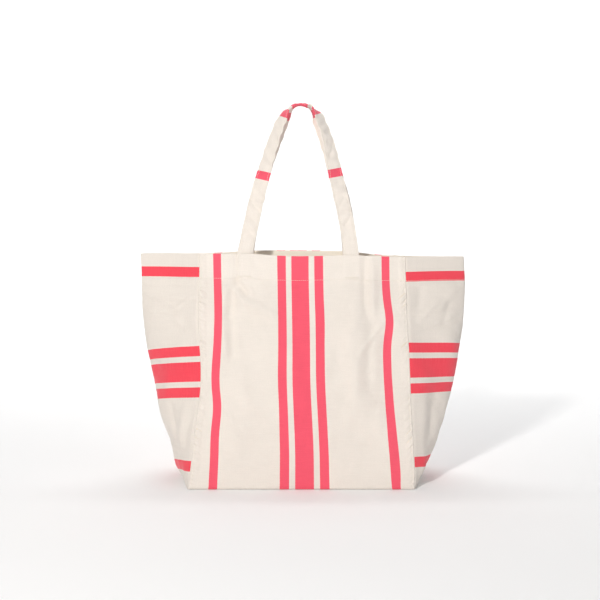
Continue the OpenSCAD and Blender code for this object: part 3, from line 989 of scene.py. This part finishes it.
def canvas(name, cream, stripes=None, coral=CORAL, yarn=YARN, single=None):
    """Plain-weave cotton canvas, with or without the woven stripes. Cloth coordinates are metres, and u
    runs across the stripes. Where single gives two distances along the cloth, it is single between them,
    and doubled and so a little lighter past them."""
    n = Nodes(name)
    where = n.add("ShaderNodeUVMap", uv_map="Cloth").outputs[0]
    parts = n.add("ShaderNodeSeparateXYZ")
    n.link(where, parts.inputs[0])
    u, v = parts.outputs[0], parts.outputs[1]

    blotch = n.noise(where, 16.0, 2.0)
    slub_v = n.noise(n.scaled(where, (1500.0, 40.0, 1.0)), 1.0, 2.0)
    slub_u = n.noise(n.scaled(where, (34.0, 1300.0, 1.0)), 1.0, 2.0)
    fleck = n.noise(where, 620.0, 1.0)
    tone = n.math("ADD", n.centred(blotch, 0.10), n.centred(slub_u, 0.10))
    tone = n.math("ADD", tone, n.centred(slub_v, 0.06))
    tone = n.math("ADD", tone, n.centred(fleck, 0.10))
    tone = n.math("ADD", tone, 1.0)
    if single:
        tone = n.math("ADD", tone, DOUBLED_LIGHTER)
        low, high = (distance - 4 * MM for distance in single)
        thin = band(n, v, low, high, 14 * MM)
        tone = n.math("SUBTRACT", tone, n.math("MULTIPLY", thin, DOUBLED_LIGHTER))

    colour = cream
    if stripes:
        ragged = n.noise(n.scaled(where, (40.0, 900.0, 1.0)), 1.0, 1.0)
        edge_u = n.math("ADD", u, n.centred(ragged, 0.5 * MM))
        away = n.math("ABSOLUTE", edge_u)
        edge = 0.35 * MM
        wide_half, narrow_near, narrow_far, side_near, side_far = stripes
        dye = band(n, away, -1.0, wide_half, edge)
        for near, far in ((narrow_near, narrow_far), (side_near, side_far)):
            dye = n.math("MAXIMUM", dye, band(n, away, near, far, edge))
        wear = n.math("MULTIPLY", n.math("SUBTRACT", slub_u, 0.35), 0.2, clamp=True)
        colour = n.mix(dye, cream, n.mix(wear, coral, WORN_CORAL))
    shade = n.add("ShaderNodeCombineXYZ")
    for socket in shade.inputs:
        n.link(tone, socket)
    n.link(n.mix(1.0, colour, shade.outputs[0], "MULTIPLY"), n.shader.inputs["Base Color"])

    turn = np.pi / yarn
    warp = n.math("SINE", n.math("MULTIPLY", u, turn))
    weft = n.math("SINE", n.math("MULTIPLY", v, turn))
    weave = n.math("MULTIPLY", warp, weft)
    ribs = n.math("ADD", n.math("ABSOLUTE", warp), n.math("ABSOLUTE", weft))
    height = n.math("ADD", n.math("MULTIPLY", weave, 0.5), n.math("MULTIPLY", ribs, 0.25))
    height = n.math("ADD", height, n.math("MULTIPLY", slub_u, 1.1))
    height = n.math("ADD", height, n.math("MULTIPLY", slub_v, 0.8))
    height = n.math("ADD", height, n.math("MULTIPLY", fleck, 0.5))
    n.relief(height, 0.55, 0.16 * MM)

    n.shader.inputs["Roughness"].default_value = 0.88
    n.shader.inputs["Specular IOR Level"].default_value = 0.25
    n.shader.inputs["Sheen Weight"].default_value = 0.25
    n.shader.inputs["Sheen Roughness"].default_value = 0.55
    return n.material


def thread_material(name):
    """Twisted thread: fine diagonal ply, a little shinier than the canvas."""
    n = Nodes(name)
    place = n.add("ShaderNodeTexCoord").outputs["Object"]
    ply = n.noise(n.scaled(place, (2600.0, 2600.0, 1400.0)), 1.0, 2.0)
    tone = n.mix(n.math("MULTIPLY", ply, 0.5), THREAD, DARK_THREAD)
    n.link(tone, n.shader.inputs["Base Color"])
    n.relief(ply, 0.5, 0.08 * MM)
    n.shader.inputs["Roughness"].default_value = 0.62
    n.shader.inputs["Sheen Weight"].default_value = 0.15
    return n.material


def floor_material():
    n = Nodes("studio_floor")
    place = n.add("ShaderNodeTexCoord").outputs["Object"]
    grain = n.noise(place, 3.0, 2.0)
    n.link(n.mix(grain, (0.95, 0.95, 0.95), (0.97, 0.97, 0.97)), n.shader.inputs["Base Color"])
    n.shader.inputs["Roughness"].default_value = 0.9
    n.shader.inputs["Specular IOR Level"].default_value = 0.1
    return n.material


# ---- camera, light and floor ----

FRAME_SIDE = 600
CAMERA_FAR = 2.20
CAMERA_HEIGHT = 0.50
CAMERA_X = -0.002
FOCAL = 1320.0 / FRAME_SIDE             # focal length, in widths of the frame
HORIZON = 175.3 / FRAME_SIDE            # how far down the frame the horizon lies
STUDIO = 6.0                            # half the size of the studio's floor
STUDIO_BACK = 1.6                       # where the floor starts to curve up into the wall
STUDIO_CURVE = 1.4


def add_camera():
    data = bpy.data.cameras.new("camera")
    data.sensor_width = 36.0
    data.lens = data.sensor_width * FOCAL
    data.shift_y = HORIZON - 0.5
    camera = bpy.data.objects.new("camera", data)
    camera.location = (CAMERA_X, -CAMERA_FAR, CAMERA_HEIGHT)
    camera.rotation_euler = (np.pi / 2, 0, 0)
    bpy.context.scene.collection.objects.link(camera)
    bpy.context.scene.camera = camera


def add_light(name, place, aim, size, power, colour=(1, 1, 1)):
    data = bpy.data.lights.new(name, "AREA")
    data.shape = "RECTANGLE"
    data.size, data.size_y = size
    data.energy = power
    data.color = colour
    light = bpy.data.objects.new(name, data)
    light.location = place
    way = np.array(aim) - np.array(place)
    flat = np.hypot(way[0], way[1])
    light.rotation_euler = (np.arctan2(flat, -way[2]), 0, np.arctan2(way[1], way[0]) - np.pi / 2)
    bpy.context.scene.collection.objects.link(light)


def add_studio():
    curve = np.linspace(0, np.pi / 2, 24)
    wall_y = STUDIO_BACK + STUDIO_CURVE
    ys = np.concatenate([[-STUDIO], STUDIO_BACK + STUDIO_CURVE * np.sin(curve), [wall_y]])
    zs = np.concatenate([[0], STUDIO_CURVE * (1 - np.cos(curve)), [STUDIO]])
    points = [(x, y, z) for y, z in zip(ys, zs) for x in (-STUDIO, STUDIO)]
    quads = [(2 * i, 2 * i + 1, 2 * i + 3, 2 * i + 2) for i in range(len(ys) - 1)]
    floor = new_piece("studio_floor", points, quads)
    floor.data.materials.append(floor_material())
    add_light("key", (-0.80, -2.35, 1.45), (0, 0, 0.25), (0.22, 0.22), 43, (1.0, 0.985, 0.96))
    add_light("fill", (2.2, -1.6, 1.6), (0, 0, 0.25), (2.0, 2.0), 11, (0.95, 0.97, 1.0))
    add_light("top", (0, 0.3, 2.6), (0, 0, 0.2), (2.4, 2.4), 10)
    add_light("backdrop", (0, 0.9, 2.6), (0, 3.0, 0.9), (3.0, 0.8), 60)
    world = bpy.data.worlds.new("studio")
    world.use_nodes = True
    world.node_tree.nodes["Background"].inputs[0].default_value = (1.0, 1.0, 1.0, 1)
    world.node_tree.nodes["Background"].inputs[1].default_value = 0.2
    bpy.context.scene.world = world
    bpy.context.scene.view_settings.view_transform = "Standard"


# ---- build ----

def finish_piece(piece, material, replaced):
    piece.data.materials.append(material)
    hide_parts(*replaced)
    return piece


add_camera()
add_studio()

PANEL_LENGTH = row_lengths(outside["panel"])[-1]
body_look = canvas("body_canvas_look", CREAM, PANEL_STRIPES, single=(HEM, PANEL_LENGTH - HEM))
# Painted shade: the gussets are the front's canvas, drawn 3% darker and with deeper coral, for standing
# less lit
gusset_shaded_look = canvas("gusset_canvas_shaded_look", tuple(0.97 * c for c in CREAM), GUSSET_STRIPES, GUSSET_PAINTED_SHADE_CORAL)
strap_look = canvas("strap_canvas_look", tuple(min(1.03 * c, 0.9) for c in CREAM), STRAP_STRIPES)
# Painted light: the facing is drawn lighter than the canvas to lift it out of the shade inside the mouth
facing_painted_light_look = canvas("facing_painted_light_look", FACING_PAINTED_LIGHT_CREAM, yarn=0.6 * MM)
tape_look = canvas("binding_look", TAPE_CREAM, yarn=0.7 * MM)
thread_look = thread_material("thread_look")

body = finish_piece(make_panel(), body_look, ["body_panel"])
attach(body, "bag")
hem = finish_piece(make_hem_stitches(), thread_look, ["hem_stitching"])
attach(hem, "bag")
facing = finish_piece(make_facing(), facing_painted_light_look, ["rim_facing"])
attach(facing, "bag")

for side, word in X_WORDS.items():
    panel = finish_piece(make_gusset(side), gusset_shaded_look, [f"{word}_gusset"])
    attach(panel, "bag")
    tape = finish_piece(make_binding(side), tape_look, [f"{word}_seam_binding"])
    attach(tape, "bag")
    seam = finish_piece(make_seam_stitches(side), thread_look, [f"{word}_seam_stitching"])
    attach(seam, "bag")

for side, word in WORDS.items():
    ends = [f"{word}_left_strap_end", f"{word}_right_strap_end"]
    strap = finish_piece(make_strap(side), strap_look, [f"{word}_strap"] + ends)
    sewing = finish_piece(make_strap_stitches(side), thread_look, [f"{word}_strap_stitching"])
    for piece in (strap, sewing):
        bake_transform(piece)
    for x_side, x_word in X_WORDS.items():
        tack_node = f"{word}_{x_word}_strap_tack"
        tack = finish_piece(make_tacks(side, x_side), thread_look, [tack_node])
        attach(tack, "bag")
